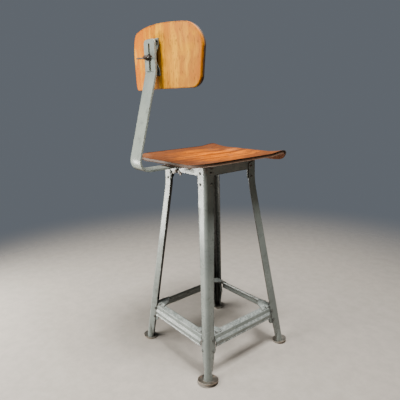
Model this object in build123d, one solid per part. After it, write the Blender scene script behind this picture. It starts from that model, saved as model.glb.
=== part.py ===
from build123d import *
import math
import os

# A factory drafting chair: a tall four-legged stool of pressed steel with a moulded plywood seat and a
# plywood backrest on a bent flat bar. Millimetres, +Z up, the sitter faces -Y, the sitter's left is +X.
# Everything is drawn about the stool's own centre and moved by origin_shift when it is written.

# ------------------------------------------------------------------ driving dimensions
origin_shift = -32.0            # puts the middle of the whole chair's box on the origin
sheet = 2.0                     # pressed sheet of the legs and rails

leg_reach = 164.0               # outer corner of a leg from the centre planes, at the floor
leg_splay = 0.1144              # inward travel of a leg for each millimetre of height
leg_top_reach = 101.0           # the same reach on the upright top of the leg
leg_top = 618.0
leg_bend_half = 21.0            # half the height over which the leg bends upright
leg_half_strip = 30.2           # half the width of the sheet that a leg is folded from
leg_v_height = 500.0            # from here up the section is a right-angled V
leg_v = (90.0, 10.0)            # degrees that its corner turns through, and the corner's outer radius
leg_joint = (124.0, 9.5)        # the closing V at the footrest
leg_joint_heights = (66.0, 142.0)
leg_round = (250.0, 13.2)       # the nearly round foot
leg_round_height = 8.0
leg_top_slope = 0.32            # the flange tops fall towards their free edges
leg_start = -4.0                # the section is drawn from below the floor, then cut to the foot plate

foot_centre = 157.0
foot_thick = 3.0
foot_wear = 0.6                 # depth of the worn flat on the underside
big_foot = (30.5, 110.0)        # disc radius and dish radius of the replaced foot plate
small_foot = (23.0, 60.0)

rail_bottom = 589.0
rail_top = 621.0
rail_flange = 20.0
rail_half_length = 90.5
rail_fold_radius = 1.8
rail_mitre = 0.5                # gap between the flanges of neighbouring rails
rail_tab = (65.0, 557.0)        # inner edge and lower end of a rail's end tab
rail_tab_radius = 12.0
rail_rivet_heights = (566.0, 597.0)
rail_rivet_reach = 79.0

footrest_half_length = 118.0
footrest_sheet = 1.8
footrest_start = (129.0, 130.5)  # the rolled section: (outward, height) from its inner hem
tread_inner = (131.0, 135.0)    # ridge at the inner edge of the tread
tread_outer = (144.0, 127.0)
footrest_web = [(145.0, 116.5), (151.0, 109.0), (149.5, 99.5), (152.0, 95.5)]
footrest_folds = [1.6, 2.5, 3.0, 3.5, 1.5]
footrest_tab = (-9.0, 14.0, 74.0, 130.0)       # ends from the flange's free edge, lower and upper end
footrest_tab_radius = 9.0
footrest_rivet_heights = (87.0, 118.0)
footrest_rivet_inset = 5.0      # rivet centre from the flange's free edge

gusset_radius = 60.0
gusset_corner = 147.0
gusset_reach = 142.3
gusset_rivet_reach = 108.0
gusset_rivet_shift = 1.0        # outward of the middle of the tread

rivet_radius = 3.0
small_rivet_radius = 2.0
rivet_play = 0.05               # around a shank and under both heads
rivet_head_spread = 1.35        # head radius for a shank radius of 1
rivet_dome = 1.6                # radius of the head's ball
rivet_head_height = 0.95
rivet_tail_height = 0.6
drill = (-12.0, 6.0)            # a rivet hole's ends below and above the flange's face

seat_half_width = 165.5
seat_rear = 165.0
seat_thick = 9.0
seat_gap = 0.1                  # under the flat middle, above the rails
seat_flat = 95.0                # half size of the flat middle that lies on the rails
seat_side_rise = 8.0
seat_rear_rise = 1.5
seat_crest = -152.0
seat_crest_rise = 5.0
seat_roll_radius = 30.0
seat_roll_angle = 55.0
seat_lip = 10.0                 # straight run beyond the roll
seat_corner_radius = 52.0
seat_outline_front = -196.0     # the trimming outline ends ahead of the lip
seat_margin = 3.0               # how far the curved sheet is drawn past the outline
seat_screw_places = (60.0, 89.0)
screw_radius = 2.25
screw_head = (4.5, 2.6, 1.2)    # radius, height and rounding
screw_shank = 6.0
screw_tip = (2.0, 0.4)          # length and end radius

bar_width = 50.0
bar_thick = 5.0
bar_upright = 191.0             # middle of the bar's thickness on its upright top
bar_top = 952.0
bar_lean = 16.0                 # degrees between the leaning stretch and upright
bar_corner = 263.7              # where the leaning and the level stretches would meet
bar_level = 614.5
bar_end = -20.0
bar_bend_low = 27.5
bar_bend_high = 50.0
bar_slot = (873.0, 942.0, 8.2)  # lower end, upper end and width
bar_top_radius = 12.0
bar_end_radius = 8.0

guide_gap = 0.3
guide_plate = 1.5
guide_spacer = 4.0
guide_rear = 134.0
clamp_place = 122.5
clamp_thread_radius = 4.0
thread_play = 0.05
nut_half = 8.0
nut_thick = 6.0
screw_hub = (6.5, 5.0, 10.0)    # radius at the nut, radius at the end, height
screw_wings = (22.0, 4.5, 4.5, 11.5, 3.2)      # reach, tip radius, root height, tip height, thickness
wing_root = (4.0, 3.2)          # distance from the axis and radius of a wing's root

panel_back = 175.0              # rearmost line of the backrest panel
panel_bow = 422.0               # radius of the bowed back
panel_thick = 8.5
panel_low = 825.0
panel_high = 990.0
panel_low_half = 156.0
panel_high_half = 170.0         # where side and top would meet
panel_high_corner = 975.0
panel_radius_low = 28.0
panel_radius_high = 50.0

pivot_height = 906.0
strap_half_width = 20.0
strap_thick = 2.5
strap_gap = 0.6                 # between the bowed strap and the bar
strap_bow = 40.0
strap_knee = 6.0                # radius of the bend at each foot
strap_seat = 0.1                # between the strap's feet and the panel
strap_lean = 27.0               # degrees between a leg of the strap and upright
strap_feet = (860.5, 954.0)
strap_rivet_heights = (868.4, 947.0)
strap_rivet_reach = 12.0
strap_rivet_radius = 2.5

bolt_head = (6.5, 4.4, 2.0)     # radius, height and rounding
bolt_gap = 0.5                  # between the bolt's head and the strap
bolt_reach = 24.0               # beyond the bar's front
bolt_point = 0.8
washer_radius = 10.0
washer_rim = 1.0
washer_bore = 5.6
washer_lift = 0.1
washer_drawn = 12.0             # height of the plug that the dome is cut from
seat_of_nut_gap = 0.3
nut_hub = (7.5, 6.0, 12.0, 7.5)                # radius below and above, height, start above the bar's front
nut_wings = (33.0, 6.0, 11.5, 21.0, 3.5)

SIDES = {"rear": 0.0, "right": 90.0, "front": 180.0, "left": -90.0}
CORNERS = {"rear_left": (1, 1), "rear_right": (-1, 1), "front_left": (1, -1), "front_right": (-1, -1)}

os.makedirs("parts", exist_ok=True)


def save(name, *solids):
    shape = solids[0] if len(solids) == 1 else Compound(list(solids))
    export_step(Pos(0, origin_shift, 0) * shape, f"parts/{name}.step")


def block(x, y, z):
    """A box from three (low, high) pairs."""
    size = [high - low for low, high in (x, y, z)]
    middle = [(high + low) / 2 for low, high in (x, y, z)]
    return Pos(*middle) * Box(*size)


def rod(plane, radius, low, high):
    """A cylinder on the plane's normal between two heights above it."""
    return plane * Pos(0, 0, (low + high) / 2) * Cylinder(radius, high - low)


def to_corner(shape, corner):
    """Mirror a shape drawn at the +X, +Y corner to another corner."""
    side_x, side_y = corner
    if side_x < 0:
        shape = mirror(shape, about=Plane.YZ)
    if side_y < 0:
        shape = mirror(shape, about=Plane.XZ)
    return shape


def one_solid(shape):
    return shape.solids().sort_by(lambda solid: solid.volume)[-1]


# ------------------------------------------------------------------ where things sit on a leg
bend_low = (leg_reach - leg_top_reach) / leg_splay - leg_bend_half
bend_high = bend_low + 2 * leg_bend_half


def leg_corner(z):
    """Distance of the leg's outer corner from both centre planes at height z."""
    if z <= bend_low:
        return leg_reach - leg_splay * z
    if z >= bend_high:
        return leg_top_reach
    return leg_top_reach + leg_splay * (bend_high - z) ** 2 / (4 * leg_bend_half)


def top_plane(x, z):
    """On the outer face of the rear flanges near the leg tops, normal pointing out of the chair."""
    return Plane(origin=(x, leg_corner(z), z), x_dir=(1, 0, 0), z_dir=(0, 1, 0))


def section_points(z, thick):
    """The outer or inner line of a leg's section at +X, +Y: tip, end of the arc and its crown.

    The tip and the arc's end belong to the rear flange; the other flange mirrors it in the diagonal. thick
    is 0 for the outer line and the sheet for the inner one.
    """
    turn, radius = leg_shape(z)
    half = math.radians(turn) / 2
    outermost = leg_corner(z) * math.sqrt(2)
    if turn == leg_v[0]:
        outermost -= (math.sqrt(2) - 1) * radius
    middle = outermost - radius
    flat = leg_half_strip - radius * half
    arc_end = (middle + (radius - thick) * math.cos(half), (radius - thick) * math.sin(half))
    tip = (arc_end[0] - flat * math.sin(half), arc_end[1] + flat * math.cos(half))
    return [from_diagonal(point) for point in (tip, arc_end, (outermost - thick, 0))]


def leg_shape(z):
    if z <= leg_round_height:
        return leg_round
    return leg_joint if z <= leg_joint_heights[1] else leg_v


def from_diagonal(point):
    """From axes along and across the diagonal of the +X, +Y corner to X and Y."""
    along, across = point
    return ((along - across) / math.sqrt(2), (along + across) / math.sqrt(2))


joint_half = math.radians(leg_joint[0]) / 2
joint_out = from_diagonal((math.cos(joint_half), math.sin(joint_half)))
joint_along = from_diagonal((math.sin(joint_half), -math.cos(joint_half)))
joint_tilt = leg_splay * (joint_out[0] + joint_out[1])


def joint_plane(side, inset, z):
    """On the outer face of a rear flange at the footrest, inset from its free edge, X towards the corner."""
    tip = section_points(z, 0)[0]
    place = (tip[0] + inset * joint_along[0], tip[1] + inset * joint_along[1])
    return Plane(
        origin=(side * place[0], place[1], z),
        x_dir=(side * joint_along[0], joint_along[1], 0),
        z_dir=(side * joint_out[0], joint_out[1], joint_tilt),
    )


def around(shapes):
    """Repeat shapes drawn at the rear on all four sides."""
    return [Rot(0, 0, turn) * shape for turn in SIDES.values() for shape in shapes]


rail_rivet_planes = [
    top_plane(side * rail_rivet_reach, z) for side in (-1, 1) for z in rail_rivet_heights
]
footrest_rivet_planes = [
    joint_plane(side, footrest_rivet_inset, z) for side in (-1, 1) for z in footrest_rivet_heights
]
rivet_holes = around(
    [rod(plane, rivet_radius + rivet_play, *drill) for plane in rail_rivet_planes + footrest_rivet_planes]
)


def rivet(plane, grip, radius=rivet_radius):
    """A round-headed rivet: the head stands on the plane, the closed end is grip below it."""
    head_radius = rivet_head_spread * radius
    dome = rivet_dome * radius
    head = Pos(0, 0, rivet_head_height * radius - dome) * Sphere(dome)
    head = head & (Pos(0, 0, radius) * Cylinder(head_radius, 2 * radius))
    tail_height = rivet_tail_height * radius
    tail = Pos(0, 0, -grip - tail_height / 2 - 3 * rivet_play) * Cylinder(head_radius, tail_height)
    shank = Pos(0, 0, -grip / 2) * Cylinder(radius, grip + 6 * rivet_play)
    return plane * one_solid(Pos(0, 0, 2 * rivet_play) * head + shank + tail)


# ------------------------------------------------------------------ legs and feet
def leg_section(z):
    """The folded sheet of a leg at height z, drawn at +X, +Y."""
    tip, arc_end, crown = section_points(z, 0)
    inner_tip, inner_end, inner_crown = section_points(z, sheet)
    outline = Curve() + [
        Line(tip, arc_end),
        ThreePointArc(arc_end, crown, arc_end[::-1]),
        Line(arc_end[::-1], tip[::-1]),
        Line(tip[::-1], inner_tip[::-1]),
        Line(inner_tip[::-1], inner_end[::-1]),
        ThreePointArc(inner_end[::-1], inner_crown, inner_end),
        Line(inner_end, inner_tip),
        Line(inner_tip, tip),
    ]
    return Pos(0, 0, z) * make_face(outline)


def foot_dish(size):
    """Centre and axis of the ball that a dished foot plate is a cap of, at +X, +Y."""
    radius = size[1]
    axis = Vector(-leg_splay, -leg_splay, 1).normalized()
    place = foot_centre + axis.X * radius
    return Plane(origin=(place, place, radius - foot_wear), z_dir=axis)


def foot_plate(size):
    disc_radius, dish_radius = size
    dish = Sphere(dish_radius) - Sphere(dish_radius - foot_thick)
    dish = dish & (Pos(0, 0, -dish_radius) * Cylinder(disc_radius, dish_radius))
    plate = foot_dish(size) * one_solid(dish)
    return one_solid(plate - block((0, 300), (0, 300), (-20, 0)))


def leg(foot_size):
    steps = 6
    bend = [bend_low + 2 * leg_bend_half * step / steps for step in range(steps + 1)]
    heights = [leg_start, leg_round_height, *leg_joint_heights, leg_v_height] + bend + [leg_top]
    body = loft([leg_section(z) for z in heights], ruled=True)
    above = Plane(origin=(leg_top_reach, leg_top_reach, leg_top), z_dir=(-leg_top_slope, -leg_top_slope, 1))
    body = body - above * Pos(0, 0, 25) * Box(120, 120, 50)
    dish = foot_dish(foot_size)
    below = block((100, 200), (100, 200), (-10, 30)) - dish * Sphere(foot_size[1] - foot_thick)
    return one_solid(body - below - rivet_holes)


# ------------------------------------------------------------------ rails under the seat
face_line = leg_top_reach - sheet           # outer face of the rails


def seat_rail():
    """The rear rail: upright web, top flange under the seat and a tab down each leg."""
    across = (-rail_half_length, rail_half_length)
    web = block(across, (face_line - sheet, face_line), (rail_bottom, rail_top))
    inner = face_line - rail_flange
    outline = Polyline(
        (-rail_half_length, face_line),
        (rail_half_length, face_line),
        (rail_half_length, rail_half_length + rail_mitre),
        (inner - rail_mitre, inner),
        (rail_mitre - inner, inner),
        (-rail_half_length, rail_half_length + rail_mitre),
        close=True,
    )
    flange = Pos(0, 0, rail_top - sheet) * extrude(make_face(outline), sheet)
    rail = web + flange
    rail = fillet(rail.edges().filter_by(Axis.X).group_by(Axis.Z)[-1].sort_by(Axis.Y)[-1], rail_fold_radius)
    tab_edge, tab_low = rail_tab
    for side in (-1, 1):
        across = sorted((side * tab_edge, side * rail_half_length))
        tab = block(across, (face_line - sheet, face_line), (tab_low, rail_bottom + 5))
        rail += fillet(tab.edges().filter_by(Axis.Y).group_by(Axis.Z)[0], rail_tab_radius)
        screw_place = Plane(origin=(side * seat_screw_places[0], seat_screw_places[1], rail_top))
        rail -= rod(screw_place, screw_radius + rivet_play, *drill)
    return one_solid(rail - rivet_holes)


guide_half = bar_width / 2 + guide_gap + guide_spacer
guide_low = bar_level - bar_thick / 2 - guide_gap - guide_plate
guide_high = bar_level + bar_thick / 2 + guide_gap + guide_plate
guide_front = -(face_line - sheet)


def guide_window():
    """The opening in the rear rail that the guide is welded into."""
    return block((-guide_half, guide_half), (face_line - 10, face_line + 10), (guide_low, guide_high))


# ------------------------------------------------------------------ footrest
def footrest_rail():
    """The rear footrest rail: a rolled section between the legs with a flat tab at each end."""
    line = FilletPolyline(
        footrest_start, tread_inner, tread_outer, *footrest_web, radius=footrest_folds
    )
    section = Plane.YZ * trace(line, footrest_sheet)
    rail = extrude(section, footrest_half_length, both=True)
    inner, outer, low, high = footrest_tab
    half = (high - low) / 2
    under_leg = sheet / math.hypot(1, joint_tilt)
    for side in (-1, 1):
        plane = joint_plane(side, 0, (low + high) / 2)
        tab = block((inner, outer), (-half, half), (-under_leg - sheet, -under_leg))
        bottom = 0 if plane.y_dir.Z > 0 else -1
        tab = fillet(tab.edges().filter_by(Axis.Z).group_by(Axis.Y)[bottom], footrest_tab_radius)
        rail += plane * tab
    return one_solid(rail - rivet_holes - gusset_rivet_holes)


tread_slope = (tread_inner[1] - tread_outer[1]) / (tread_outer[0] - tread_inner[0])
tread_lift = footrest_sheet / 2 * math.hypot(1, tread_slope)


def tread_plane(x):
    """On the outer face of a gusset's wing where it lies on the rear tread."""
    across = (tread_inner[0] + tread_outer[0]) / 2 + gusset_rivet_shift
    height = tread_height(across) + sheet * math.hypot(1, tread_slope)
    return Plane(origin=(x, across, height), x_dir=(1, 0, 0), z_dir=(0, tread_slope, 1))


def tread_height(y):
    return tread_inner[1] + tread_lift - tread_slope * (y - tread_inner[0])


gusset_rivet_planes = [tread_plane(side * gusset_rivet_reach) for side in (-1, 1)]
gusset_rivet_holes = around(
    [rod(plane, small_rivet_radius + rivet_play, *drill) for plane in gusset_rivet_planes]
)


def gusset():
    """A quarter-round corner plate: flat inside, with a wing bent down over each of two treads."""
    ridge = tread_inner[0]
    flat = tread_height(ridge)
    start = gusset_corner - gusset_radius
    diagonal = Plane(origin=(0, 0, 0), z_dir=(1, -1, 0))

    def under(thick):
        """What lies under the plate's top (thick is the sheet) or under its bottom (thick is 0)."""
        high = flat + thick
        wing_lift = thick * math.hypot(1, tread_slope)
        knee = ridge + (wing_lift - thick) / tread_slope
        wing = tread_height(gusset_reach) + wing_lift
        outline = Polyline(
            (start, 100), (gusset_reach, 100), (gusset_reach, wing), (knee, high), (start, high), close=True
        )
        rear = Pos(start, 0, 0) * extrude(Plane.YZ * make_face(outline), gusset_reach - start)
        return rear & mirror(rear, about=diagonal)

    plate = under(sheet) - under(0)
    plate = plate & (Pos(gusset_corner, gusset_corner, flat) * Cylinder(gusset_radius, 60))
    return one_solid(plate - gusset_rivet_holes)


# ------------------------------------------------------------------ seat
def seat_underside(across, run):
    """A point of the seat's underside: run is measured along the fore-and-aft curve from the rear."""
    side = max(abs(across) - seat_flat, 0) / (seat_half_width - seat_flat)
    lift = seat_side_rise * side ** 1.6
    roll = math.radians(seat_roll_angle)
    crest_run = seat_rear - seat_crest
    roll_run = seat_roll_radius * roll
    y = seat_rear - min(run, crest_run)
    z = rail_top + seat_gap
    if y > seat_flat:
        z += seat_rear_rise * ((y - seat_flat) / (seat_rear - seat_flat)) ** 1.6
    if y < -seat_flat:
        z += seat_crest_rise * math.sin(math.pi / 2 * (-seat_flat - y) / (-seat_flat - seat_crest)) ** 2
    turned = min(max(run - crest_run, 0) / seat_roll_radius, roll)
    beyond = max(run - crest_run - roll_run, 0)
    y -= seat_roll_radius * math.sin(turned) + beyond * math.cos(roll)
    z -= seat_roll_radius * (1 - math.cos(turned)) + beyond * math.sin(roll)
    return (across, y, z + lift)


def seat_panel():
    columns = 25
    rows = 57
    half = seat_half_width + seat_margin
    roll_run = seat_roll_radius * math.radians(seat_roll_angle)
    length = seat_rear + seat_margin - seat_crest + roll_run + seat_lip
    grid = [
        [
            seat_underside(-half + 2 * half * column / (columns - 1), length * row / (rows - 1) - seat_margin)
            for column in range(columns)
        ]
        for row in range(rows)
    ]
    surface = Face.make_surface_from_array_of_points(grid, tol=0.02, max_deg=3)
    panel = Solid.thicken(surface, seat_thick, normal_override=(0, 0, 1))
    outline = Pos(0, (seat_rear + seat_outline_front) / 2) * RectangleRounded(
        2 * seat_half_width, seat_rear - seat_outline_front, seat_corner_radius
    )
    panel = panel & (Pos(0, 0, rail_top) * extrude(outline, 2 * seat_roll_radius, both=True))
    return one_solid(panel - around(seat_screw_holes))


def seat_screw(plane):
    head_radius, head_height, rounding = screw_head
    tip_length, tip_radius = screw_tip
    head = Pos(0, 0, -head_height / 2) * Cylinder(head_radius, head_height)
    head = fillet(head.edges().group_by(Axis.Z)[0], rounding)
    shank = Pos(0, 0, screw_shank / 2) * Cylinder(screw_radius, screw_shank)
    tip = Pos(0, 0, screw_shank + tip_length / 2) * Cone(screw_radius, tip_radius, tip_length)
    return plane * one_solid(head + shank + tip)


seat_screw_planes = [
    Plane(origin=(side * seat_screw_places[0], seat_screw_places[1], rail_top - sheet)) for side in (-1, 1)
]
screw_hole_depth = screw_shank + screw_tip[0] + 0.4
seat_screw_holes = [
    rod(plane, screw_radius + rivet_play, -1, screw_hole_depth) for plane in seat_screw_planes
]


# ------------------------------------------------------------------ backrest bar and its guide
def backrest_bar():
    """A flat bar: level under the seat, leaning back behind it, upright behind the backrest."""
    rise = (bar_corner - bar_upright) / math.tan(math.radians(bar_lean))
    line = FilletPolyline(
        (bar_end, bar_level),
        (bar_corner, bar_level),
        (bar_upright, bar_level + rise),
        (bar_upright, bar_top),
        radius=[bar_bend_low, bar_bend_high],
    )
    bar = extrude(Plane.YZ * trace(line, bar_thick), bar_width / 2, both=True)
    bar = fillet(bar.edges().filter_by(Axis.Y).group_by(Axis.Z)[-1], bar_top_radius)
    bar = fillet(bar.edges().filter_by(Axis.Z).group_by(Axis.Y)[0], bar_end_radius)
    low, high, width = bar_slot
    slot = Plane.XZ * Pos(0, (low + high) / 2) * SlotOverall(high - low, width, rotation=90)
    return one_solid(bar - extrude(slot, -300))


def guide_plates():
    across = (-guide_half, guide_half)
    along = (guide_front, guide_rear)
    lower = block(across, along, (guide_low, guide_low + guide_plate))
    upper = block(across, along, (guide_high - guide_plate, guide_high))
    hole = rod(Plane(origin=(0, clamp_place, guide_low)), clamp_thread_radius, -1, guide_plate + 1)
    return lower - hole, upper


def guide_side(side):
    across = sorted((side * (guide_half - guide_spacer), side * guide_half))
    return block(across, (guide_front, guide_rear), (guide_low + guide_plate, guide_high - guide_plate))


def clamp_nut():
    """A square nut welded under the guide."""
    along = (clamp_place - nut_half, clamp_place + nut_half)
    nut = block((-nut_half, nut_half), along, (guide_low - nut_thick, guide_low))
    nut = chamfer(nut.edges().group_by(Axis.Z)[0], 1)
    return nut - rod(Plane(origin=(0, clamp_place, guide_low)), clamp_thread_radius, -nut_thick - 1, 1)


def ears(reach, tip_radius, low, high, thick):
    """The two wings of a wing nut or screw, in the XZ plane, each the hull of two circles."""
    both = None
    root_place, root_radius = wing_root
    for side in (-1, 1):
        circles = [
            Pos(side * root_place, low) * Circle(root_radius),
            Pos(side * (reach - tip_radius), high) * Circle(tip_radius),
        ]
        outline = make_hull([edge for circle in circles for edge in circle.edges()])
        ear = extrude(Plane.XZ * outline, thick / 2, both=True)
        both = ear if both is None else both + ear
    return both


def wing_screw():
    """The clamping screw under the guide, drawn with its axis pointing down from the nut."""
    plane = Plane(origin=(0, clamp_place, guide_low - nut_thick), x_dir=(1, 0, 0), z_dir=(0, 0, -1))
    start_radius, end_radius, height = screw_hub
    hub = Pos(0, 0, 2 * guide_gap + height / 2) * Cone(start_radius, end_radius, height)
    tip = nut_thick + guide_plate + guide_gap - 2 * thread_play
    shank = rod(Plane.XY, clamp_thread_radius - thread_play, -tip, 1)
    return plane * one_solid(hub + shank + ears(*screw_wings))


# ------------------------------------------------------------------ backrest
bar_front = bar_upright - bar_thick / 2
pivot = Plane(origin=(0, bar_front, pivot_height), x_dir=(1, 0, 0), z_dir=(0, 1, 0))
strap_back = panel_back + strap_seat + strap_thick
strap_rivet_planes = [
    Plane(origin=(side * strap_rivet_reach, strap_back, z), x_dir=(1, 0, 0), z_dir=(0, 1, 0))
    for side in (-1, 1)
    for z in strap_rivet_heights
]
strap_drill = (-20.0, 5.0)
strap_rivet_holes = [
    rod(plane, strap_rivet_radius + rivet_play, *strap_drill) for plane in strap_rivet_planes
]


def backrest_panel():
    """A bowed plywood panel: an upright cylinder wall cut to the outline seen from behind."""
    middle = panel_back - panel_bow
    wall = Cylinder(panel_bow, 300) - Cylinder(panel_bow - panel_thick, 300)
    wall = Pos(0, middle, 900) * wall
    outline = make_face(
        Curve() + [
            Polyline(
                (-panel_high_half, panel_high_corner), (-panel_low_half, panel_low),
                (panel_low_half, panel_low), (panel_high_half, panel_high_corner),
            ),
            ThreePointArc(
                (panel_high_half, panel_high_corner), (0, panel_high), (-panel_high_half, panel_high_corner)
            ),
        ]
    )
    low_corners = outline.vertices().group_by(Axis.Y)[0]
    outline = fillet(low_corners, panel_radius_low)
    high_corners = outline.vertices().group_by(Axis.Y)[-1]
    outline = fillet(high_corners, panel_radius_high)
    panel = wall & extrude(Plane.XZ * outline, -300)
    return one_solid(panel - strap_rivet_holes)


def backrest_strap():
    """A bowed strap between panel and bar; its feet are riveted to the panel."""
    foot = strap_back - strap_thick / 2
    crown = bar_front - strap_gap - strap_thick / 2
    lean = math.radians(strap_lean)
    meet = crown + strap_bow * (1 / math.cos(lean) - 1)
    knee = (meet - foot) / math.tan(lean)
    low, high = strap_feet
    line = FilletPolyline(
        (foot, low),
        (foot, pivot_height - knee),
        (meet, pivot_height),
        (foot, pivot_height + knee),
        (foot, high),
        radius=[strap_knee, strap_bow, strap_knee],
    )
    strap = extrude(Plane.YZ * trace(line, strap_thick), strap_half_width, both=True)
    strap -= rod(pivot, clamp_thread_radius, *strap_drill)
    return one_solid(strap - strap_rivet_holes)


bolt_head_face = -(strap_gap + strap_thick + bolt_gap)


def clamp_bolt():
    """The bolt that holds strap and bar together, drawn from the strap's inner face to past the nut."""
    head_radius, head_height, rounding = bolt_head
    head = rod(Plane.XY, head_radius, bolt_head_face - head_height, bolt_head_face)
    head = fillet(head.edges().group_by(Axis.Z)[0], rounding)
    shank = rod(Plane.XY, clamp_thread_radius - thread_play, bolt_head_face, bolt_reach)
    shank = chamfer(shank.edges().group_by(Axis.Z)[-1], bolt_point)
    return pivot * one_solid(head + shank)


washer_ball = math.hypot(washer_radius, bar_thick + washer_rim)


def tilt_washer():
    """A domed washer on the bar's rear face; the dome is a ball about the tilt axis."""
    start = bar_thick + washer_lift
    washer = Sphere(washer_ball) & rod(Plane.XY, washer_radius, start, start + washer_drawn)
    return pivot * one_solid(washer - Cylinder(washer_bore, 4 * washer_drawn))


def wing_nut():
    low_radius, high_radius, height, start = nut_hub
    hub = Pos(0, 0, start + height / 2) * Cone(low_radius, high_radius, height)
    nut = hub + ears(*nut_wings)
    nut -= Sphere(washer_ball + seat_of_nut_gap)
    return pivot * one_solid(nut - Cylinder(clamp_thread_radius, 4 * height))


# ------------------------------------------------------------------ write the nodes
for name, corner in CORNERS.items():
    foot_size = big_foot if name == "rear_right" else small_foot
    save(f"leg_{name}", to_corner(leg(foot_size), corner))
    save(f"foot_plate_{name}", to_corner(foot_plate(foot_size), corner))
    save(f"footrest_gusset_{name}", to_corner(gusset(), corner))

for name, turn in SIDES.items():
    rail = seat_rail()
    if name == "rear":
        rail = one_solid(rail - guide_window())
    save(f"seat_rail_{name}", Rot(0, 0, turn) * rail)
    save(f"footrest_rail_{name}", Rot(0, 0, turn) * footrest_rail())

leg_grip = sheet / math.hypot(1, joint_tilt) + sheet
save("rail_rivets", *around([rivet(plane, 2 * sheet) for plane in rail_rivet_planes]))
save("footrest_rivets", *around([rivet(plane, leg_grip) for plane in footrest_rivet_planes]))
gusset_grip = sheet + footrest_sheet
gusset_rivets = [rivet(plane, gusset_grip, small_rivet_radius) for plane in gusset_rivet_planes]
save("gusset_rivets", *around(gusset_rivets))

save("seat_panel", seat_panel())
save("seat_screws", *around([seat_screw(plane) for plane in seat_screw_planes]))

lower_plate, upper_plate = guide_plates()
save("guide_lower_plate", lower_plate)
save("guide_upper_plate", upper_plate)
save("guide_spacer_left", guide_side(1))
save("guide_spacer_right", guide_side(-1))
save("clamp_nut", clamp_nut())
save("clamp_wing_screw", wing_screw())

save("backrest_bar", backrest_bar())
save("tilt_washer", tilt_washer())
save("backrest_panel", backrest_panel())
save("backrest_strap", backrest_strap())
panel_grip = strap_thick + strap_seat + panel_thick + 8 * rivet_play
save("strap_rivets", *[rivet(plane, panel_grip, strap_rivet_radius) for plane in strap_rivet_planes])
save("clamp_bolt", clamp_bolt())
save("backrest_wing_nut", wing_nut())
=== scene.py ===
"""The drafting chair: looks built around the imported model. Metres, +Z up, the sitter faces -Y."""
import math

import bmesh
import bpy
from mathutils import Matrix, Vector


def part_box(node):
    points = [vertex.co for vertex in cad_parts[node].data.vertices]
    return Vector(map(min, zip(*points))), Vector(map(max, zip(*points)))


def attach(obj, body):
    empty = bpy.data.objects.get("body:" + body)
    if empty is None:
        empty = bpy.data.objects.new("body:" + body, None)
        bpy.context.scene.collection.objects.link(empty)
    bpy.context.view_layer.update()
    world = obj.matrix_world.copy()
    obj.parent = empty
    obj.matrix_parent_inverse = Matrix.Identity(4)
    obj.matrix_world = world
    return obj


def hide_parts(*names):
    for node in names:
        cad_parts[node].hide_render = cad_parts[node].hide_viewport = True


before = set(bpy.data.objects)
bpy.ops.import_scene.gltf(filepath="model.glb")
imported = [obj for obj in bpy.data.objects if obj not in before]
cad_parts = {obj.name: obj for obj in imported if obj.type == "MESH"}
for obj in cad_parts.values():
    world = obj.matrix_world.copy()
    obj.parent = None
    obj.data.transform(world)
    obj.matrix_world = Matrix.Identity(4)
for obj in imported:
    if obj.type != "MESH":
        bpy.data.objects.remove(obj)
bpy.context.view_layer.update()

MM = 0.001
CENTRE_Y = -0.032           # the stool's own middle in the row frame
CORNERS = {"rear_left": (1, 1), "rear_right": (-1, 1), "front_left": (1, -1), "front_right": (-1, -1)}
BIG_DISH = 110.0            # ball radius of the replaced foot plate, and of the other three
SMALL_DISH = 60.0
FOOT_CENTRE = 157.0         # middle of a foot plate from the stool's middle planes
PLATE_THICK = 3.0
PLATE_WEAR = 0.6            # depth of the worn flat under a plate
LEG_SPLAY = 0.1144          # inward travel of a leg for each unit of height
LEG_REACH = 163.2           # corner of a leg's outline where it meets the plate
LEG_ROUND = 13.2            # outer radius of a leg's foot

# ------------------------------------------------------------------ camera, floor and light
CAMERA_AT = (-0.9489, 0.7621, 0.8015)
CAMERA_HEADING = math.radians(-38.44)
CAMERA_PITCH = math.radians(-14.13)
CAMERA_ROLL = math.radians(-1.85)
CAMERA_LENS = 36.55


def make_camera():
    heading, pitch, roll = CAMERA_HEADING, CAMERA_PITCH, CAMERA_ROLL
    ahead = Vector(
        (math.cos(heading) * math.cos(pitch), math.sin(heading) * math.cos(pitch), math.sin(pitch))
    )
    level_right = Vector((math.sin(heading), -math.cos(heading), 0))
    level_up = level_right.cross(ahead)
    right = math.cos(roll) * level_right + math.sin(roll) * level_up
    up = -math.sin(roll) * level_right + math.cos(roll) * level_up
    data = bpy.data.cameras.new("camera")
    data.lens = CAMERA_LENS
    data.sensor_width = 36
    data.clip_start = 0.02
    camera = bpy.data.objects.new("camera", data)
    turn = Matrix((right, up, -ahead)).transposed()
    camera.matrix_world = Matrix.Translation(CAMERA_AT) @ turn.to_4x4()
    bpy.context.scene.collection.objects.link(camera)
    bpy.context.scene.camera = camera


def area_light(name, place, target, size, power, colour):
    data = bpy.data.lights.new(name, "AREA")
    data.shape = "RECTANGLE"
    data.size, data.size_y = size
    data.energy = power
    data.color = colour
    light = bpy.data.objects.new(name, data)
    light.location = place
    aim = Vector(target) - Vector(place)
    light.rotation_euler = aim.to_track_quat("-Z", "Y").to_euler()
    bpy.context.scene.collection.objects.link(light)


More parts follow.
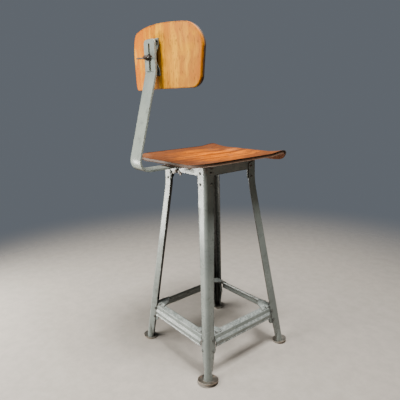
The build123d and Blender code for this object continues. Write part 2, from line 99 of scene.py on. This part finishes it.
def make_studio():
    """A low window on the left, a ceiling light, and a dim room that only the camera sees as grey-blue."""
    world = bpy.data.worlds.new("studio")
    world.use_nodes = True
    tree = world.node_tree
    seen = tree.nodes.new("ShaderNodeBackground")
    seen.inputs["Color"].default_value = (0.55, 0.62, 0.72, 1)
    seen.inputs["Strength"].default_value = 0.22
    fill = tree.nodes["Background"]
    fill.inputs["Color"].default_value = (0.86, 0.90, 1.0, 1)
    fill.inputs["Strength"].default_value = 0.03
    choose = tree.nodes.new("ShaderNodeMixShader")
    path = tree.nodes.new("ShaderNodeLightPath")
    tree.links.new(path.outputs["Is Camera Ray"], choose.inputs[0])
    tree.links.new(fill.outputs[0], choose.inputs[1])
    tree.links.new(seen.outputs[0], choose.inputs[2])
    tree.links.new(choose.outputs[0], tree.nodes["World Output"].inputs["Surface"])
    bpy.context.scene.world = world
    area_light("window", (1.05, 1.02, 0.36), (0, 0, 0.45), (0.75, 0.5), 27, (1.0, 0.99, 0.93))
    area_light("soft_window", (0.30, 1.55, 1.30), (0, 0.16, 0.9), (0.9, 0.8), 36, (1.0, 0.98, 0.95))
    area_light("overhead", (-0.55, 0.0, 2.4), (0, 0, 0.3), (0.6, 0.6), 76, (1.0, 0.985, 0.96))

    mesh = bpy.data.meshes.new("floor")
    half = 4.0
    corners = [(-half, -half, 0), (half, -half, 0), (half, half, 0), (-half, half, 0)]
    mesh.from_pydata(corners, [], [(0, 1, 2, 3)])
    floor = bpy.data.objects.new("floor", mesh)
    bpy.context.scene.collection.objects.link(floor)
    floor.data.materials.append(floor_material())


def floor_material():
    """Pale warm grey that fades into the backdrop away from the chair."""
    g = Graph("floor_grey")
    mottle = g.step(g.noise(26, 5, 0.7), 0.3, 0.7)
    g.finish(Base_Color=g.mix(mottle, (0.50, 0.455, 0.40), (0.44, 0.40, 0.35)), Roughness=0.85)
    flat = g.node("ShaderNodeVectorMath", {0: g.place, 1: (1, 1, 0)}, operation="MULTIPLY").outputs[0]
    away = g.node("ShaderNodeVectorMath", {0: flat}, operation="LENGTH").outputs["Value"]
    clear = g.node("ShaderNodeBsdfTransparent").outputs[0]
    blend = g.node("ShaderNodeMixShader", {0: g.step(away, 0.75, 1.9), 1: g.shader.outputs[0], 2: clear})
    g.tree.links.new(blend.outputs[0], g.tree.nodes["Material Output"].inputs["Surface"])
    return g.material


# ------------------------------------------------------------------ materials
class Graph:
    """A material's node tree with short calls for the nodes used here."""

    def __init__(self, name):
        self.material = bpy.data.materials.new(name)
        self.material.use_nodes = True
        self.tree = self.material.node_tree
        self.shader = self.tree.nodes["Principled BSDF"]
        self.place = self.tree.nodes.new("ShaderNodeTexCoord").outputs["Object"]

    def node(self, kind, inputs=(), **settings):
        made = self.tree.nodes.new(kind)
        for key, value in settings.items():
            setattr(made, key, value)
        for key, value in dict(inputs).items():
            self.feed(made.inputs[key], value)
        return made

    def feed(self, socket, value):
        if isinstance(value, bpy.types.NodeSocket):
            self.tree.links.new(value, socket)
        elif isinstance(value, tuple) and len(value) == 3 and socket.type == "RGBA":
            socket.default_value = (*value, 1)
        else:
            socket.default_value = value

    def math(self, operation, first, second=0.0):
        made = self.node("ShaderNodeMath", {0: first, 1: second}, operation=operation)
        return made.outputs[0]

    def mix(self, amount, first, second, blend="MIX"):
        made = self.node("ShaderNodeMix", data_type="RGBA", blend_type=blend)
        self.feed(made.inputs[0], amount)
        self.feed(made.inputs[6], first)
        self.feed(made.inputs[7], second)
        return made.outputs[2]

    def stretch(self, scale, place=None):
        made = self.node("ShaderNodeMapping", {"Vector": place or self.place, "Scale": scale})
        return made.outputs[0]

    def noise(self, scale, detail=3.0, roughness=0.55, place=None):
        made = self.node(
            "ShaderNodeTexNoise",
            {"Vector": place or self.place, "Scale": scale, "Detail": detail, "Roughness": roughness},
        )
        return made.outputs[0]

    def step(self, value, low, high, to_low=0.0, to_high=1.0):
        made = self.node(
            "ShaderNodeMapRange",
            {"Value": value, "From Min": low, "From Max": high, "To Min": to_low, "To Max": to_high},
            interpolation_type="SMOOTHSTEP",
        )
        return made.outputs[0]

    def edges(self, radius, low, high):
        """1 near sharp edges, from how far the rounded normal leans away from the true one."""
        rounded = self.node("ShaderNodeBevel", {"Radius": radius}, samples=6).outputs[0]
        true = self.node("ShaderNodeNewGeometry").outputs["Normal"]
        dot = self.node("ShaderNodeVectorMath", {0: rounded, 1: true}, operation="DOT_PRODUCT")
        return self.step(self.math("SUBTRACT", 1.0, dot.outputs["Value"]), low, high)

    def bump(self, height, strength, distance):
        inputs = {"Height": height, "Strength": strength, "Distance": distance}
        return self.node("ShaderNodeBump", inputs).outputs[0]

    def finish(self, **sockets):
        for key, value in sockets.items():
            self.feed(self.shader.inputs[key.replace("_", " ")], value)
        return self.material


def worn_paint(name, light, dark, chip_share, scuffed=False, inner_shade=0.90):
    """Old stove enamel: mottled, chipped to dark steel along edges, grimy in patches, darker towards the
    floor, with painted shade on faces turned towards the middle or down.
    """
    g = Graph(name)
    colour = g.mix(g.step(g.noise(9, 4), 0.35, 0.68), light, dark)
    streaks = g.noise(60, 4, place=g.stretch((1, 1, 0.12)))
    colour = g.mix(g.math("MULTIPLY", g.step(streaks, 0.5, 0.75), 0.45), colour, dark)
    height = g.node("ShaderNodeSeparateXYZ", {0: g.place}).outputs["Z"]
    # darker towards the floor, from 0.45 m down
    low_darkening = g.step(height, 0.45, 0.02, 0.0, 0.35)
    colour = g.mix(low_darkening, colour, tuple(0.62 * value for value in dark))
    grime = g.step(g.noise(38, 5, 0.65), 0.54, 0.76)
    colour = g.mix(g.math("MULTIPLY", grime, 0.45), colour, (0.055, 0.05, 0.04))

    if scuffed:
        normal = g.node("ShaderNodeNewGeometry").outputs["Normal"]
        up = g.node("ShaderNodeSeparateXYZ", {0: normal}).outputs["Z"]
        rub = g.step(g.noise(150, 6, 0.75), 0.44, 0.60)
        rub = g.math("MULTIPLY", rub, g.step(up, 0.25, 0.6))
        colour = g.mix(g.math("MULTIPLY", rub, 0.85), colour, (0.47, 0.50, 0.475))
    # painted shade: faces turned towards the middle or down are darkened nearly to black
    colour = g.mix(g.math("MULTIPLY", inward_shade(g), inner_shade), colour, (0.012, 0.012, 0.010))

    edge = g.edges(0.006, 0.01, 0.25)
    patches = g.noise(120, 5, 0.7)
    worn = g.math("ADD", patches, g.math("MULTIPLY", edge, 0.28))
    chips = g.step(worn, 0.78 - chip_share, 0.80 - chip_share)
    specks = g.step(g.noise(210, 3, 0.6), 0.72 - chip_share / 3, 0.735 - chip_share / 3)
    chips = g.math("MAXIMUM", chips, specks)
    steel = g.mix(g.step(g.noise(90, 3), 0.4, 0.65), (0.030, 0.024, 0.020), (0.075, 0.050, 0.034))
    colour = g.mix(chips, colour, steel)
    rough = g.math("ADD", 0.17, g.math("MULTIPLY", g.noise(45, 3), 0.24))
    rough = g.math("ADD", rough, g.math("MULTIPLY", chips, 0.3))
    grain = g.math("MULTIPLY", g.noise(700, 3, 0.6), 0.15)
    relief = g.math("SUBTRACT", grain, g.math("MULTIPLY", chips, 0.8))
    return g.finish(Base_Color=colour, Roughness=rough, Normal=g.bump(relief, 0.35, 0.0006))


def inward_shade(g):
    """1 on faces that look at the chair's middle line or down: the mask for painted shade on inner and under
    faces.
    """
    centred = g.node("ShaderNodeVectorMath", {0: g.place, 1: (0, CENTRE_Y, 0)}, operation="SUBTRACT")
    flat = g.node("ShaderNodeVectorMath", {0: centred.outputs[0], 1: (1, 1, 0)}, operation="MULTIPLY")
    outward = g.node("ShaderNodeVectorMath", {0: flat.outputs[0]}, operation="NORMALIZE").outputs[0]
    normal = g.node("ShaderNodeNewGeometry").outputs["True Normal"]
    agree = g.node("ShaderNodeVectorMath", {0: outward, 1: normal}, operation="DOT_PRODUCT").outputs["Value"]
    down = g.node("ShaderNodeSeparateXYZ", {0: normal}).outputs["Z"]
    return g.math("MAXIMUM", g.step(agree, -0.25, -0.55), g.step(down, -0.5, -0.8))


def rusty_steel(name, light, dark, rust):
    g = Graph(name)
    colour = g.mix(g.step(g.noise(45, 5, 0.65), 0.38, 0.62), light, dark)
    patches = g.step(g.noise(75, 6, 0.7), 0.5, 0.66)
    colour = g.mix(g.math("MULTIPLY", patches, rust), colour, (0.17, 0.075, 0.03))
    edge = g.edges(0.002, 0.03, 0.4)
    colour = g.mix(g.math("MULTIPLY", edge, 0.45), colour, (0.45, 0.42, 0.38))
    metal = g.math("SUBTRACT", 0.85, g.math("MULTIPLY", patches, 0.6))
    rough = g.math("ADD", 0.38, g.math("MULTIPLY", patches, 0.4))
    height = g.math("ADD", g.noise(260, 4, 0.65), g.math("MULTIPLY", patches, 0.6))
    return g.finish(Base_Color=colour, Roughness=rough, Metallic=metal, Normal=g.bump(height, 0.3, 0.0005))


def veneer(name, light, dark, pore, stretch, wave, scratch_share, pale, shade):
    """Varnished face veneer. stretch shortens the grain's direction; wave bends it.

    pale is the colour and share of the worn patches, and the colour of the rim, partly the board's own dark
    edge, partly painted shade.
    shade is painted shade away from a pool of light at a middle: its colour, the middle, and the distances
    where it starts and ends.
    """
    g = Graph(name)
    bend = g.node("ShaderNodeTexNoise", {"Vector": g.place, "Scale": wave[0], "Detail": 2.0}).outputs["Color"]
    centred = g.node("ShaderNodeVectorMath", {0: bend, 1: (0.5, 0.5, 0.5)}, operation="SUBTRACT").outputs[0]
    pushed = g.node("ShaderNodeVectorMath", {0: centred, "Scale": wave[1]}, operation="SCALE").outputs[0]
    place = g.node("ShaderNodeVectorMath", {0: g.place, 1: pushed}, operation="ADD").outputs[0]
    long_way = g.stretch(stretch, place)
    bands = g.noise(46, 4, 0.6, long_way)
    fibres = g.noise(230, 4, 0.65, long_way)
    pores = g.noise(520, 2, 0.5, g.stretch(tuple(0.6 * value + 0.05 for value in stretch), place))
    colour = g.mix(g.step(bands, 0.36, 0.62), light, dark)
    colour = g.mix(g.math("MULTIPLY", g.step(fibres, 0.45, 0.68), 0.6), colour, dark)

    # painted shade: the board darkens with distance from the middle
    shade_colour, middle, start, end = shade
    away = g.node("ShaderNodeVectorMath", {0: place, 1: middle}, operation="DISTANCE").outputs["Value"]
    away = g.math("ADD", away, g.math("MULTIPLY", g.math("SUBTRACT", g.noise(14, 5, 0.65), 0.5), 0.16))
    away = g.math("ADD", away, g.math("MULTIPLY", g.math("SUBTRACT", bands, 0.5), 0.10))
    colour = g.mix(g.step(away, start, end, 0.0, 0.92), colour, shade_colour)
    colour = g.mix(g.math("MULTIPLY", g.step(pores, 0.58, 0.70), 0.75), colour, pore)

    wear = g.step(g.noise(11, 5, 0.62), 0.52, 0.70)
    colour = g.mix(g.math("MULTIPLY", wear, pale[1]), colour, pale[0])
    # rim colour near the edges: partly the board's own dark edge, partly painted shade
    edge = g.edges(0.004, 0.02, 0.4)
    colour = g.mix(g.math("MULTIPLY", edge, 0.6), colour, pale[2])
    scratches = g.step(g.noise(80, 6, 0.75, g.stretch(tuple(2.2 * value for value in stretch))), 0.62, 0.70)
    colour = g.mix(g.math("MULTIPLY", scratches, scratch_share), colour, pore)
    knocks = g.step(g.noise(75, 2, 0.5, g.stretch((1, 1, 1))), 0.735, 0.76)
    colour = g.mix(g.math("MULTIPLY", knocks, 0.85), colour, pore)
    rough = g.math("ADD", 0.42, g.math("MULTIPLY", wear, 0.20))
    rough = g.math("ADD", rough, g.math("MULTIPLY", fibres, 0.12))
    height = g.math("SUBTRACT", g.math("MULTIPLY", fibres, 0.3), g.math("MULTIPLY", scratches, 0.5))
    material = g.finish(Base_Color=colour, Roughness=rough, Normal=g.bump(height, 0.25, 0.0004))
    g.shader.inputs["Specular IOR Level"].default_value = 0.15
    return material


def ply_edge(name, light, dark):
    """The layers of the board's edge, from the ply attribute that runs through its thickness."""
    g = Graph(name)
    depth = g.node("ShaderNodeAttribute", attribute_name="ply").outputs["Fac"]
    wobble = g.math("MULTIPLY", g.math("SUBTRACT", g.noise(60, 2), 0.5), 0.05)
    layer = g.math("PINGPONG", g.math("ADD", depth, wobble), 0.1429)
    stripe = g.step(layer, 0.055, 0.09)
    fibres = g.noise(420, 4, 0.6)
    colour = g.mix(stripe, light, dark)
    colour = g.mix(g.math("MULTIPLY", g.step(fibres, 0.45, 0.7), 0.5), colour, dark)
    grime = g.step(g.noise(30, 4), 0.42, 0.65)
    colour = g.mix(g.math("MULTIPLY", grime, 0.55), colour, (0.05, 0.028, 0.015))
    return g.finish(Base_Color=colour, Roughness=0.6, Normal=g.bump(fibres, 0.3, 0.0005))


# ------------------------------------------------------------------ moulded boards
def board(name, rows, thick, round_over, layers, face_material, edge_material, body, node):
    """A moulded board from a grid of points on its back face and the side its front lies on.

    rows is a grid of (point, normal). The rim is rounded over at both faces and carries the layers.
    """
    bm = bmesh.new()
    ply = bm.verts.layers.float.new("ply")
    height, width = len(rows), len(rows[0])
    boundary = (
        [(0, column) for column in range(width)]
        + [(row, width - 1) for row in range(1, height)]
        + [(height - 1, column) for column in range(width - 2, -1, -1)]
        + [(row, 0) for row in range(height - 2, 0, -1)]
    )

    def sheet_of(lift, share):
        made = {}
        for row in range(height):
            for column in range(width):
                point, normal = rows[row][column]
                vertex = bm.verts.new(point + normal * lift)
                vertex[ply] = share
                made[row, column] = vertex
        return made

    back = sheet_of(0.0, 0.0)
    front = sheet_of(thick, 1.0)
    for row in range(height - 1):
        for column in range(width - 1):
            corners = [(row, column), (row, column + 1), (row + 1, column + 1), (row + 1, column)]
            bm.faces.new([front[corner] for corner in corners])
            bm.faces.new([back[corner] for corner in reversed(corners)])

    count = len(boundary)
    outward = []
    for index, (row, column) in enumerate(boundary):
        before = rows[boundary[index - 1][0]][boundary[index - 1][1]][0]
        after_row, after_column = boundary[(index + 1) % count]
        after = rows[after_row][after_column][0]
        outward.append((after - before).cross(rows[row][column][1]).normalized())

    profile = []
    steps = 3
    for step in range(1, steps + 1):
        turn = math.pi / 2 * step / steps
        profile.append((round_over * math.sin(turn), round_over * (1 - math.cos(turn))))
    for layer in range(1, layers):
        profile.append((round_over, round_over + (thick - 2 * round_over) * layer / layers))
    for step in range(steps, 0, -1):
        turn = math.pi / 2 * step / steps
        profile.append((round_over * math.sin(turn), thick - round_over * (1 - math.cos(turn))))

    previous = [back[place] for place in boundary]
    for reach, lift in profile:
        ring = []
        for index, (row, column) in enumerate(boundary):
            point, normal = rows[row][column]
            vertex = bm.verts.new(point + normal * lift + outward[index] * reach)
            vertex[ply] = lift / thick
            ring.append(vertex)
        rim(bm, previous, ring)
        previous = ring
    rim(bm, previous, [front[place] for place in boundary])
    bmesh.ops.recalc_face_normals(bm, faces=bm.faces)
    mesh = bpy.data.meshes.new(name)
    bm.to_mesh(mesh)
    bm.free()
    for face in mesh.polygons:
        face.use_smooth = True
    mesh.materials.append(face_material)
    mesh.materials.append(edge_material)
    piece = bpy.data.objects.new(name, mesh)
    bpy.context.scene.collection.objects.link(piece)
    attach(piece, body)
    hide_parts(node)
    return piece


def rim(bm, lower, upper):
    count = len(lower)
    for index in range(count):
        following = (index + 1) % count
        face = bm.faces.new((lower[index], lower[following], upper[following], upper[index]))
        face.material_index = 1


def with_normals(points):
    """Pairs every point of a grid with the grid's normal there."""
    height, width = len(points), len(points[0])
    rows = []
    for row in range(height):
        line = []
        for column in range(width):
            along = points[min(row + 1, height - 1)][column] - points[max(row - 1, 0)][column]
            across = points[row][min(column + 1, width - 1)] - points[row][max(column - 1, 0)]
            line.append((points[row][column], across.cross(along).normalized()))
        rows.append(line)
    return rows


def rounded_side(length, half_start, half_end, radius_start, radius_end, steps=9, straight=14):
    """(distance along, half width) pairs down one side of a board with rounded corners."""
    pairs = []
    for step in range(steps + 1):
        turn = math.pi / 2 * step / steps
        pairs.append((radius_start * (1 - math.cos(turn)), half_start - radius_start * (1 - math.sin(turn))))
    for step in range(1, straight):
        share = step / straight
        along = radius_start + (length - radius_start - radius_end) * share
        pairs.append((along, half_start + (half_end - half_start) * share))
    for step in range(steps + 1):
        turn = math.pi / 2 * (1 - step / steps)
        along = length - radius_end * (1 - math.cos(turn))
        pairs.append((along, half_end - radius_end * (1 - math.sin(turn))))
    return pairs


# seat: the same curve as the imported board
SEAT = {
    "half": 165.5, "rear": 165.0, "thick": 9.0, "flat": 95.0, "side_rise": 8.0, "rear_rise": 1.5,
    "crest": -152.0, "crest_rise": 5.0, "roll": 30.0, "roll_angle": math.radians(55), "lip": 10.0,
    "base": 621.1,
}


def seat_underside(across, run):
    s = SEAT
    side = max(abs(across) - s["flat"], 0) / (s["half"] - s["flat"])
    lift = s["side_rise"] * side ** 1.6
    crest_run = s["rear"] - s["crest"]
    y = s["rear"] - min(run, crest_run)
    z = s["base"]
    if y > s["flat"]:
        z += s["rear_rise"] * ((y - s["flat"]) / (s["rear"] - s["flat"])) ** 1.6
    if y < -s["flat"]:
        z += s["crest_rise"] * math.sin(math.pi / 2 * (-s["flat"] - y) / (-s["flat"] - s["crest"])) ** 2
    turned = min(max(run - crest_run, 0) / s["roll"], s["roll_angle"])
    beyond = max(run - crest_run - s["roll"] * s["roll_angle"], 0)
    y -= s["roll"] * math.sin(turned) + beyond * math.cos(s["roll_angle"])
    z -= s["roll"] * (1 - math.cos(turned)) + beyond * math.sin(s["roll_angle"])
    return Vector((across * MM, y * MM + CENTRE_Y, (z + lift) * MM))


def make_seat():
    s = SEAT
    round_over = 2.0
    length = s["rear"] - s["crest"] + s["roll"] * s["roll_angle"] + s["lip"] - 2 * round_over
    half = s["half"] - round_over
    columns = 41
    points = []
    for along, width in rounded_side(length, half, half, 50.0, 42.0, 10, 30):
        points.append([
            seat_underside(width * (2 * column / (columns - 1) - 1), along + round_over)
            for column in range(columns)
        ])
    face = veneer(
        "seat_veneer", (0.94, 0.235, 0.0), (0.33, 0.068, 0.004), (0.035, 0.012, 0.006),
        (1.0, 0.055, 1.0), (7, 0.03), 0.85, ((0.40, 0.20, 0.11), 0.25, (0.10, 0.045, 0.02)),
        # painted shade: the seat darkens away from its middle
        ((0.17, 0.060, 0.026), (0.0, CENTRE_Y - 0.02, 0.632), 0.03, 0.17),
    )
    edge = ply_edge("seat_ply", (0.15, 0.075, 0.036), (0.045, 0.021, 0.011))
    rows = [[(point, -normal) for point, normal in row] for row in with_normals(points)]
    return board("seat_board", rows, s["thick"] * MM, round_over * MM, 14, face, edge, "stool", "seat_panel")


PANEL = {
    "back": 175.0, "bow": 422.0, "thick": 8.5, "low": 825.0, "high": 990.0, "low_half": 156.0,
    "high_half": 170.0, "high_corner": 975.0, "radius_low": 28.0, "radius_high": 50.0,
}


def make_backrest():
    p = PANEL
    round_over = 2.0
    crown = (p["high_half"] ** 2 + (p["high"] - p["high_corner"]) ** 2) / (2 * (p["high"] - p["high_corner"]))

    def top(x):
        return p["high"] - round_over - crown + math.sqrt(crown ** 2 - x ** 2)

    low = p["low"] + round_over
    slope = (p["high_half"] - p["low_half"]) / (p["high_corner"] - p["low"])
    length = p["high_corner"] - round_over - low
    sides = rounded_side(
        length, p["low_half"] - round_over + slope * p["radius_low"],
        p["high_half"] - round_over - slope * p["radius_high"], p["radius_low"], p["radius_high"], 10, 12,
    )
    columns = 41
    points = []
    for along, width in sides:
        row = []
        for column in range(columns):
            x = width * (1 - 2 * column / (columns - 1))
            share = along / length
            z = low + (top(x) - low) * share
            y = p["back"] - p["bow"] + math.sqrt(p["bow"] ** 2 - x ** 2)
            row.append(Vector((x * MM, y * MM + CENTRE_Y, z * MM)))
        points.append(row)
    rows = with_normals(points)
    rows = [[(point, -normal if normal.y > 0 else normal) for point, normal in row] for row in rows]
    face = veneer(
        "backrest_veneer", (0.97, 0.44, 0.0), (0.56, 0.19, 0.001), (0.22, 0.06, 0.004),
        # the rim colour at the end of this tuple is partly painted shade
        (1.0, 1.0, 0.07), (9, 0.035), 0.35, ((0.98, 0.47, 0.015), 0.45, (0.20, 0.06, 0.004)),
        # painted shade: the panel darkens away from a middle
        ((0.66, 0.17, 0.006), (-0.045, 0.14, 0.86), 0.07, 0.20),
    )
    edge = ply_edge("backrest_ply", (0.16, 0.08, 0.035), (0.05, 0.025, 0.014))
    return board(
        "backrest_board", rows, p["thick"] * MM, round_over * MM, 14, face, edge, "backrest", "backrest_panel"
    )


# ------------------------------------------------------------------ CAD nodes kept as they are
def dress(prefixes, material, bevel):
    for name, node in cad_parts.items():
        if not name.startswith(prefixes):
            continue
        node.data.materials.clear()
        node.data.materials.append(material)
        weld = node.modifiers.new("weld", "WELD")
        weld.merge_threshold = 1e-5
        rounding = node.modifiers.new("rounding", "BEVEL")
        rounding.width = bevel
        rounding.segments = 2
        rounding.limit_method = "ANGLE"
        rounding.angle_limit = math.radians(40)


# ------------------------------------------------------------------ welds and threads
def tube(name, path, radii, sides, material, body):
    """A closed round bead along a path of points, one radius each."""
    bm = bmesh.new()
    rings = []
    for index, centre in enumerate(path):
        ahead = (path[min(index + 1, len(path) - 1)] - path[max(index - 1, 0)]).normalized()
        side = ahead.cross(Vector((0.1, 0.2, 1))).normalized()
        lift = side.cross(ahead)
        ring = []
        for step in range(sides):
            turn = 2 * math.pi * step / sides
            ring.append(bm.verts.new(centre + radii[index] * (side * math.cos(turn) + lift * math.sin(turn))))
        rings.append(ring)
    for lower, upper in zip(rings, rings[1:]):
        for step in range(sides):
            following = (step + 1) % sides
            bm.faces.new((lower[step], lower[following], upper[following], upper[step]))
    bm.faces.new(rings[0])
    bm.faces.new(rings[-1])
    bmesh.ops.recalc_face_normals(bm, faces=bm.faces)
    mesh = bpy.data.meshes.new(name)
    bm.to_mesh(mesh)
    bm.free()
    for face in mesh.polygons:
        face.use_smooth = True
    mesh.materials.append(material)
    piece = bpy.data.objects.new(name, mesh)
    bpy.context.scene.collection.objects.link(piece)
    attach(piece, body)


def make_foot_welds(material):
    """A rippled bead around the outside of every leg where it stands on its dished plate."""
    foot_radius = LEG_ROUND + 0.2
    foot_middle = LEG_REACH - LEG_ROUND / math.sqrt(2)
    beads = 44
    reach = math.radians(112)
    for corner, (side_x, side_y) in CORNERS.items():
        dish = BIG_DISH if corner == "rear_right" else SMALL_DISH
        path, radii = [], []
        for step in range(beads + 1):
            turn = math.pi / 4 + reach * (2 * step / beads - 1)
            x = foot_middle + foot_radius * math.cos(turn)
            y = foot_middle + foot_radius * math.sin(turn)
            z = dish_top(x, y, dish)
            path.append(Vector((side_x * x * MM, side_y * y * MM + CENTRE_Y, z * MM)))
            radii.append((1.15 + 0.3 * math.sin(step * math.pi / 2)) * MM)
        tube(f"foot_weld_{corner}", path, radii, 8, material, "stool")


def dish_top(x, y, radius):
    """Height of a dished foot plate's upper face in the stool's own millimetres."""
    lean = 1 / math.sqrt(1 + 2 * LEG_SPLAY ** 2)
    middle = FOOT_CENTRE - LEG_SPLAY * lean * radius
    drop = (x - middle) ** 2 + (y - middle) ** 2
    ball = radius - PLATE_THICK
    return (radius - PLATE_WEAR) - math.sqrt(max(ball ** 2 - drop, 0))


def make_bolt_thread(material):
    """The helical ridge on the clamping bolt's end, past the wing nut."""
    low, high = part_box("clamp_bolt")
    axis_z = (low[2] + high[2]) / 2
    pitch, turns, per_turn = 0.00125, 3, 20
    ridge = 0.0037
    end = high[1] - 0.0009
    path, radii = [], []
    for step in range(turns * per_turn + 1):
        turn = 2 * math.pi * step / per_turn
        fade = min(step, turns * per_turn - step, 6) / 6
        y = end - pitch * step / per_turn
        path.append(Vector((ridge * math.cos(turn), y, axis_z + ridge * math.sin(turn))))
        radii.append(0.00015 + 0.0003 * fade)
    tube("bolt_thread", path, radii, 6, material, "backrest")


make_camera()
make_studio()
frame_paint = worn_paint("frame_paint", (0.27, 0.30, 0.275), (0.19, 0.215, 0.20), 0.06)
tread_paint = worn_paint("tread_paint", (0.30, 0.335, 0.31), (0.20, 0.23, 0.215), 0.09, True, 0.45)
bar_paint = worn_paint("bar_paint", (0.31, 0.345, 0.30), (0.23, 0.265, 0.24), 0.04)
rivet_paint = worn_paint("rivet_paint", (0.20, 0.22, 0.20), (0.10, 0.11, 0.10), 0.16)
foot_metal = rusty_steel("foot_metal", (0.56, 0.53, 0.47), (0.32, 0.28, 0.23), 0.5)
fastener_metal = rusty_steel("fastener_metal", (0.07, 0.062, 0.054), (0.028, 0.024, 0.022), 0.3)
worn_foot_metal = rusty_steel("worn_foot_metal", (0.40, 0.36, 0.31), (0.22, 0.18, 0.14), 0.7)
dress(("leg_", "seat_rail_", "guide_", "clamp_nut"), frame_paint, 0.0004)
dress(("footrest_rail", "footrest_gusset"), tread_paint, 0.0004)
dress(("rail_rivets", "footrest_rivets", "gusset_rivets"), rivet_paint, 0.0003)
dress(("backrest_bar", "backrest_strap"), bar_paint, 0.0006)
dress(("foot_plate_rear_left", "foot_plate_front_"), foot_metal, 0.0006)
dress(("foot_plate_rear_right",), worn_foot_metal, 0.0006)
dress(("tilt_washer", "clamp_bolt", "backrest_wing_nut", "clamp_wing_screw", "seat_screws", "strap_rivets"),
      fastener_metal, 0.0003)
make_seat()
make_backrest()
make_foot_welds(frame_paint)
make_bolt_thread(fastener_metal)
